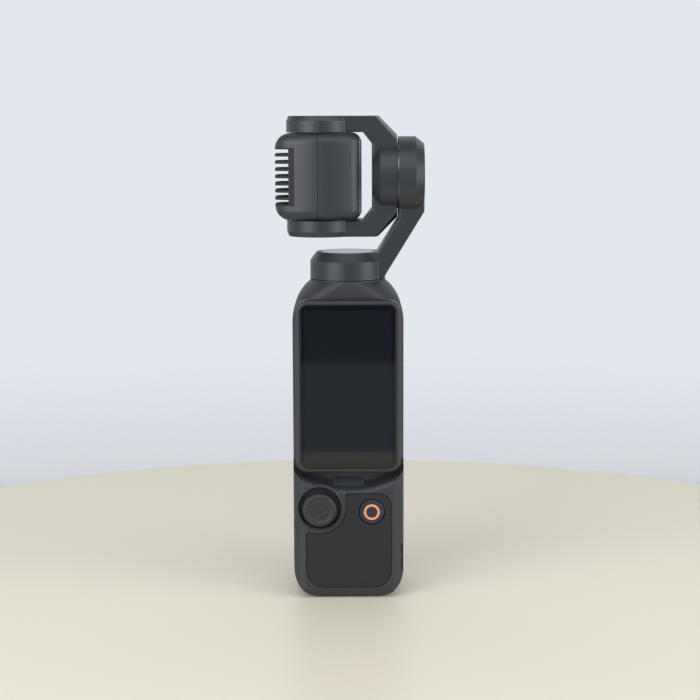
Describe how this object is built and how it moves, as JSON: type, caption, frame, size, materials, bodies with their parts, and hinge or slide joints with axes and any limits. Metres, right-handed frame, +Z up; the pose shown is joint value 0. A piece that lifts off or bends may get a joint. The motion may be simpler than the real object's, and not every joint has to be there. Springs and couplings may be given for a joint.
{
  "type": "pocket gimbal camera",
  "caption": "Handheld camera on a motorised pan, roll and tilt gimbal, with a turning screen, a joystick and a record button in the grip.",
  "frame": {"origin": "on the pan axis, in the flat face at the bottom of the handle", "axes": "+Z up the handle along the pan axis, -Y the way the screen faces, +X to the right of someone who looks at the screen; rest pose is the stowed one, with the lens turned to +X, towards the roll motor"},
  "size_m": [0.0431, 0.0335, 0.1397],
  "materials": {
    "shell": "fine-grained black-grey moulded plastic",
    "grip_panel": "smooth dark inlay",
    "status_window": "dark translucent window",
    "port_steel": "drawn steel",
    "contact_gold": "gold plated",
    "cell_wrap": "shrink wrap",
    "circuit_board": "solder mask",
    "frame_alloy": "die cast",
    "inner_plastic": "plain moulded",
    "pivot_steel": "turned steel",
    "screw_steel": "blackened steel",
    "motor_core": "laminated core",
    "bearing_steel": "ground steel",
    "rotor_steel": "turned steel",
    "magnet": "nickel plated",
    "screen_case": "fine-grained plastic",
    "display": "display that is switched off",
    "screen_glass": "dark cover glass",
    "stick_rubber": "knurled rubber",
    "button_black": "satin",
    "record_orange": "orange ring",
    "gimbal_alloy": "satin grey coating",
    "gimbal_cover": "satin grey coating",
    "camera_alloy": "satin grey coating",
    "bezel_metal": "bright edge",
    "lens_glass": "coated lens window",
    "optic_glass": "coated glass"
  },
  "bodies": {
    "handle": {"rear_shell": "shell", "front_shell": "shell", "grip_panel": "grip_panel", "usb_c_port": "port_steel", "accessory_contacts": "contact_gold", "status_led_window": "status_window", "card_socket": "port_steel", "lanyard_bar": "port_steel", "battery_cell": "cell_wrap", "main_board": "circuit_board", "mid_frame": "frame_alloy", "button_board": "circuit_board", "record_switch": "inner_plastic", "joystick_base": "inner_plastic", "pan_motor_base": "frame_alloy", "pan_motor_stator": "motor_core", "pan_bearings": "bearing_steel", "screen_bushing": "inner_plastic", "shell_screws": "screw_steel", "speaker": "inner_plastic"},
    "screen": {"screen_rear_cover": "screen_case", "screen_frame": "screen_case", "display_panel": "display", "cover_glass": "screen_glass", "screen_pivot": "pivot_steel", "screen_retainer": "pivot_steel"},
    "stick_slider": {"joystick_slider": "inner_plastic"},
    "stick_cradle": {"joystick_cradle": "inner_plastic"},
    "stick": {"joystick_stem": "pivot_steel", "joystick_cap": "stick_rubber"},
    "record_key": {"record_button": "button_black", "record_ring": "record_orange"},
    "arm": {"pan_arm": "gimbal_alloy", "pan_cover": "gimbal_cover", "pan_motor_rotor": "rotor_steel", "pan_magnets": "magnet", "pan_shaft": "pivot_steel", "roll_cover": "gimbal_cover", "roll_motor_stator": "motor_core", "roll_bearings": "bearing_steel"},
    "tilt_frame": {"yoke": "gimbal_alloy", "roll_motor_rotor": "rotor_steel", "roll_magnets": "magnet", "roll_shaft": "pivot_steel", "tilt_motor_stator": "motor_core", "tilt_cover_upper": "gimbal_cover", "tilt_cover_lower": "gimbal_cover", "tilt_bearings": "bearing_steel"},
    "camera": {"camera_front_housing": "camera_alloy", "camera_rear_housing": "camera_alloy", "lens_bezel": "bezel_metal", "front_glass": "lens_glass", "lens_barrel": "inner_plastic", "lens_elements": "optic_glass", "sensor_board": "circuit_board", "tilt_motor_rotor": "rotor_steel", "tilt_magnets": "magnet", "tilt_pivot_pins": "pivot_steel", "camera_screws": "screw_steel"},
    "focus_group": {"focus_lens": "optic_glass"}
  },
  "joints": [
    {"name": "pan_turn", "type": "hinge", "parent": "handle", "child": "arm", "pos_m": [0, 0, 0.0927], "axis": [0, 0, 1], "range_deg": [-153, 150]},
    {"name": "roll_turn", "type": "hinge", "parent": "arm", "child": "tilt_frame", "pos_m": [0.0144, 0, 0.12236], "axis": [1, 0, 0], "range_deg": [-153, 130]},
    {"name": "tilt_turn", "type": "hinge", "parent": "tilt_frame", "child": "camera", "pos_m": [-0.00795, 0, 0.12236], "axis": [0, 0, 1], "range_deg": [0, 278]},
    {"name": "screen_turn", "type": "hinge", "parent": "handle", "child": "screen", "pos_m": [0, -0.0114, 0.0627], "axis": [0, 1, 0], "range_deg": [0, 90]},
    {"name": "stick_press", "type": "slide", "parent": "handle", "child": "stick_slider", "axis": [0, 1, 0], "range_m": [0, 0.0003], "stiffness_N_per_m": 1500},
    {"name": "stick_tilt_up_down", "type": "hinge", "parent": "stick_slider", "child": "stick_cradle", "pos_m": [-0.00835, -0.012, 0.0272], "axis": [1, 0, 0], "range_deg": [-9, 9], "stiffness_Nm_per_rad": 0.01},
    {"name": "stick_tilt_left_right", "type": "hinge", "parent": "stick_cradle", "child": "stick", "pos_m": [-0.00835, -0.012, 0.0272], "axis": [0, 0, 1], "range_deg": [-9, 9], "stiffness_Nm_per_rad": 0.01},
    {"name": "record_press", "type": "slide", "parent": "handle", "child": "record_key", "axis": [0, 1, 0], "range_m": [0, 0.0003], "stiffness_N_per_m": 1500},
    {"name": "focus_slide", "type": "slide", "parent": "camera", "child": "focus_group", "axis": [1, 0, 0], "range_m": [0, 0.0005]}
  ]
}
